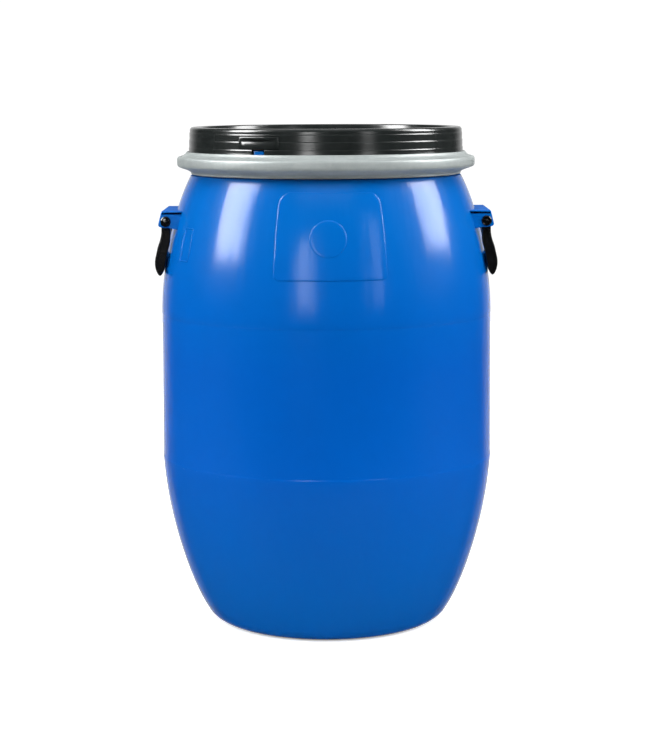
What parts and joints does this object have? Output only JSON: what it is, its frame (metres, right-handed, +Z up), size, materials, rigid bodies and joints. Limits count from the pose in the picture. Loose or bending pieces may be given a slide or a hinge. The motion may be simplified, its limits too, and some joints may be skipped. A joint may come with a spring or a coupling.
{
  "type": "open-head plastic drum",
  "caption": "Barrel-shaped blow-moulded plastic drum with a push-on gasketed lid, a steel clamp ring closed by an over-centre lever, and swing handles in moulded lugs.",
  "frame": {"origin": "centre of the standing ring, on the drum's axis at floor level", "axes": "+Z up along the drum's axis; -Y is the front with the raised panel; +X and -X carry the handles; the latch is at +Y"},
  "size_m": [0.4154, 0.408, 0.6114],
  "materials": {
    "drum_plastic": "semi-gloss blow-moulded polyethylene, soft waviness and light scuffs",
    "black_plastic": "glossy injection-moulded polyethylene",
    "gasket_foam": "matt closed-cell foam",
    "galvanised_steel": "satin zinc-plated sheet",
    "rivet_steel": "plain zinc-plated rivets"
  },
  "bodies": {
    "drum": {"drum_body": "drum_plastic", "handle_pins": "black_plastic"},
    "lid": {"lid": "black_plastic", "lid_gasket": "gasket_foam"},
    "ring_left": {"band_left": "galvanised_steel", "lever_bracket": "galvanised_steel", "lever_rivets": "rivet_steel", "seal_eyelet": "galvanised_steel"},
    "ring_right": {"band_right": "galvanised_steel", "anchor_bracket": "galvanised_steel", "anchor_rivet": "rivet_steel"},
    "lever": {"lever": "galvanised_steel", "link_rivet": "rivet_steel"},
    "link": {"link": "galvanised_steel"},
    "handle_left": {"handle_left": "black_plastic"},
    "handle_right": {"handle_right": "black_plastic"}
  },
  "joints": [
    {"name": "lid_lift", "type": "slide", "parent": "drum", "child": "lid", "axis": [0, 0, 1], "range_m": [0, 0.07]},
    {"name": "ring_lift", "type": "slide", "parent": "drum", "child": "ring_left", "axis": [0, 0, 1], "range_m": [0, 0.15], "deforming": ["band_left", "band_right"]},
    {"name": "band_flex", "type": "hinge", "parent": "ring_left", "child": "ring_right", "pos_m": [0, -0.1815, 0.5694], "axis": [0, 0, -1], "range_deg": [0, 1.2]},
    {"name": "lever_swing", "type": "hinge", "parent": "ring_left", "child": "lever", "pos_m": [-0.016, 0.194, 0.5694], "axis": [0, 0, -1], "range_deg": [0, 110]},
    {"name": "link_swing", "type": "hinge", "parent": "lever", "child": "link", "pos_m": [-0.02561, 0.19124, 0.5694], "axis": [0, 0, -1], "range_deg": [-91, 0]},
    {"name": "handle_left_swing", "type": "hinge", "parent": "drum", "child": "handle_left", "pos_m": [-0.1934, 0, 0.4992], "axis": [0, 1, 0], "range_deg": [0, 105]},
    {"name": "handle_right_swing", "type": "hinge", "parent": "drum", "child": "handle_right", "pos_m": [0.1934, 0, 0.4992], "axis": [0, -1, 0], "range_deg": [0, 105]}
  ],
  "couplings": [
    {"joint": "link_swing", "follows": "lever_swing", "ratio": -0.821},
    {"joint": "band_flex", "follows": "lever_swing", "ratio": 0.0108}
  ]
}
